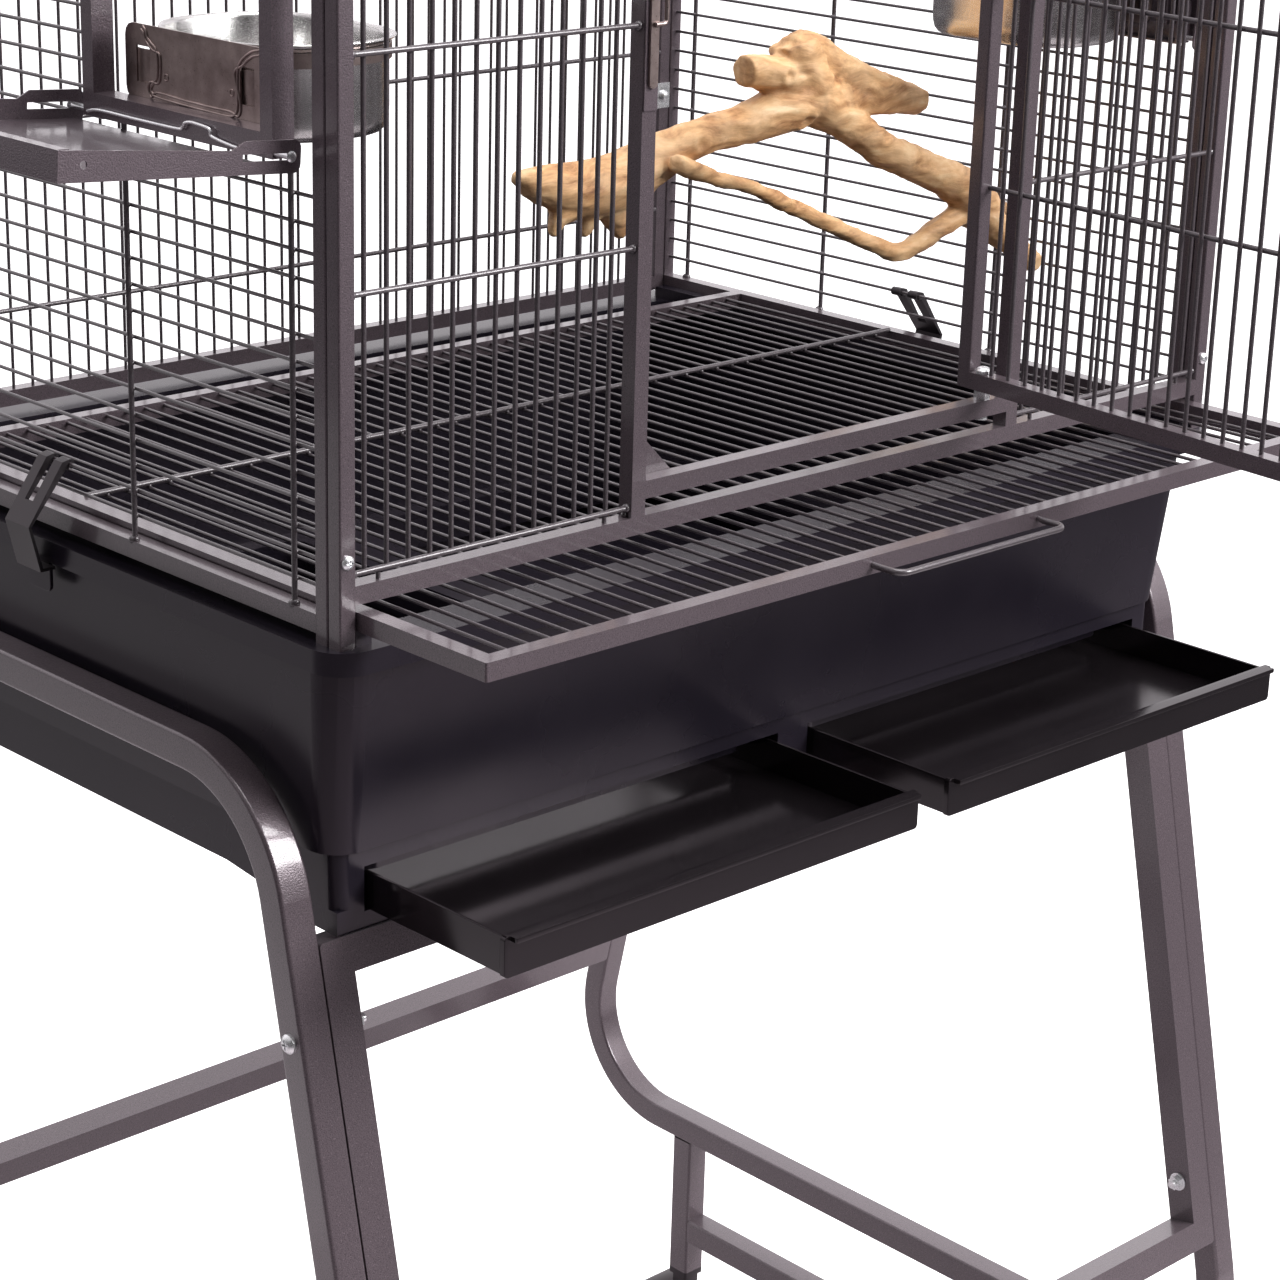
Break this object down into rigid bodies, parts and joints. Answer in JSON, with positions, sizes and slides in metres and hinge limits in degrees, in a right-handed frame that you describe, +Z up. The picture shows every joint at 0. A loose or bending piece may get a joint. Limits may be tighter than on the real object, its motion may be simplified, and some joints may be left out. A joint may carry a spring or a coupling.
{
  "type": "bird cage on stand",
  "caption": "Bird cage with a front door, side feeders and a slide-out grate over a moulded tub with drawers, on a bent-tube stand with casters.",
  "frame": {"origin": "middle of the whole part as drawn, on the floor under the casters", "axes": "+Z up; the front with the door and drawers faces -Y; +X to the right seen from the front"},
  "size_m": [1.0433, 1.0147, 1.8516],
  "materials": {
    "hammertone": "hammered satin",
    "zinc": "bright zinc plate",
    "galvanised": "satin",
    "stainless": "brushed",
    "black_plastic": "satin",
    "tub_plastic": "fine grain",
    "drawer_plastic": "gloss",
    "wheel": "satin",
    "java_wood": "sanded"
  },
  "bodies": {
    "cage": {"stand_side_frame_left": "hammertone", "stand_side_frame_right": "hammertone", "stand_foot_frame_left": "hammertone", "stand_foot_frame_right": "hammertone", "stand_front_frame": "hammertone", "stand_rear_frame": "hammertone", "stand_bolts": "zinc", "stand_nuts": "zinc", "caster_sockets": "black_plastic", "tub": "tub_plastic", "front_frame": "hammertone", "front_bars_left": "hammertone", "front_bars_right": "hammertone", "front_bars_over_door": "hammertone", "side_frame_left": "hammertone", "side_wires_left_low": "hammertone", "side_wires_left_high": "hammertone", "side_frame_right": "hammertone", "side_wires_right_low": "hammertone", "side_wires_right_high": "hammertone", "rear_frame": "hammertone", "rear_bars": "hammertone", "roof_frame": "hammertone", "roof_bars": "hammertone", "panel_screws": "zinc", "panel_clamps": "zinc", "door_pivot_bolts": "zinc", "door_latch_plate": "hammertone", "feeder_frame_left": "hammertone", "feeder_frame_right": "hammertone", "tray_pins": "zinc", "bowl_holder_left": "galvanised", "bowl_holder_right": "galvanised", "perch": "java_wood", "perch_bolt": "zinc", "perch_washers": "zinc"},
    "door": {"door_frame": "hammertone", "door_bars": "hammertone", "door_catch_eye": "zinc"},
    "latch": {"door_latch_slider": "galvanised"},
    "grate": {"grate_frame": "hammertone", "grate_wires": "hammertone", "grate_handle": "hammertone"},
    "drawer_l": {"drawer_left": "drawer_plastic"},
    "drawer_r": {"drawer_right": "drawer_plastic"},
    "tray_l": {"landing_tray_left": "hammertone"},
    "tray_r": {"landing_tray_right": "hammertone"},
    "bowl_l": {"bowl_left": "stainless"},
    "bowl_r": {"bowl_right": "stainless"},
    "clip_l": {"tub_clip_left": "black_plastic"},
    "clip_r": {"tub_clip_right": "black_plastic"},
    "fork_front_left": {"caster_fork_front_left": "black_plastic"},
    "wheel_front_left": {"caster_wheel_front_left": "wheel"},
    "fork_front_right": {"caster_fork_front_right": "black_plastic"},
    "wheel_front_right": {"caster_wheel_front_right": "wheel"},
    "fork_rear_left": {"caster_fork_rear_left": "black_plastic"},
    "wheel_rear_left": {"caster_wheel_rear_left": "wheel"},
    "fork_rear_right": {"caster_fork_rear_right": "black_plastic"},
    "wheel_rear_right": {"caster_wheel_rear_right": "wheel"}
  },
  "joints": [
    {"name": "door_hinge", "type": "hinge", "parent": "cage", "child": "door", "pos_m": [0.22662, -0.17255, 1.388], "axis": [0, 0, 1], "range_deg": [-85, 30]},
    {"name": "latch_slide", "type": "slide", "parent": "cage", "child": "latch", "axis": [0, 0, 1], "range_m": [-0.014, 0]},
    {"name": "grate_slide", "type": "slide", "parent": "cage", "child": "grate", "axis": [0, 1, 0], "range_m": [-0.3, 0.094]},
    {"name": "drawer_left_slide", "type": "slide", "parent": "cage", "child": "drawer_l", "axis": [0, 1, 0], "range_m": [-0.25, 0.143]},
    {"name": "drawer_right_slide", "type": "slide", "parent": "cage", "child": "drawer_r", "axis": [0, 1, 0], "range_m": [-0.25, 0.143]},
    {"name": "tray_left_hinge", "type": "hinge", "parent": "cage", "child": "tray_l", "pos_m": [-0.36638, -0.03355, 1.353], "axis": [0, 1, 0], "range_deg": [0, 81.5]},
    {"name": "tray_right_hinge", "type": "hinge", "parent": "cage", "child": "tray_r", "pos_m": [0.49262, -0.03355, 1.353], "axis": [0, 1, 0], "range_deg": [0, 81.5]},
    {"name": "bowl_left_lift", "type": "slide", "parent": "cage", "child": "bowl_l", "axis": [0, 0, 1], "range_m": [0, 0.04]},
    {"name": "bowl_right_lift", "type": "slide", "parent": "cage", "child": "bowl_r", "axis": [0, 0, 1], "range_m": [0, 0.04]},
    {"name": "clip_left_hinge", "type": "hinge", "parent": "cage", "child": "clip_l", "pos_m": [-0.35418, 0.12615, 1.11201], "axis": [0, 1, 0], "range_deg": [0, 50]},
    {"name": "clip_right_hinge", "type": "hinge", "parent": "cage", "child": "clip_r", "pos_m": [0.48042, 0.12615, 1.11201], "axis": [0, -1, 0], "range_deg": [0, 50]},
    {"name": "caster_front_left_swivel", "type": "hinge", "parent": "cage", "child": "fork_front_left", "pos_m": [-0.37238, -0.12705, 0.06], "axis": [0, 0, 1], "continuous": true},
    {"name": "caster_front_left_spin", "type": "hinge", "parent": "fork_front_left", "child": "wheel_front_left", "pos_m": [-0.37238, -0.10105, 0.025], "axis": [1, 0, 0], "continuous": true},
    {"name": "caster_front_right_swivel", "type": "hinge", "parent": "cage", "child": "fork_front_right", "pos_m": [0.49862, -0.12705, 0.06], "axis": [0, 0, 1], "continuous": true},
    {"name": "caster_front_right_spin", "type": "hinge", "parent": "fork_front_right", "child": "wheel_front_right", "pos_m": [0.49862, -0.10105, 0.025], "axis": [1, 0, 0], "continuous": true},
    {"name": "caster_rear_left_swivel", "type": "hinge", "parent": "cage", "child": "fork_rear_left", "pos_m": [-0.37238, 0.36195, 0.06], "axis": [0, 0, 1], "continuous": true},
    {"name": "caster_rear_left_spin", "type": "hinge", "parent": "fork_rear_left", "child": "wheel_rear_left", "pos_m": [-0.37238, 0.38795, 0.025], "axis": [1, 0, 0], "continuous": true},
    {"name": "caster_rear_right_swivel", "type": "hinge", "parent": "cage", "child": "fork_rear_right", "pos_m": [0.49862, 0.36195, 0.06], "axis": [0, 0, 1], "continuous": true},
    {"name": "caster_rear_right_spin", "type": "hinge", "parent": "fork_rear_right", "child": "wheel_rear_right", "pos_m": [0.49862, 0.38795, 0.025], "axis": [1, 0, 0], "continuous": true}
  ]
}
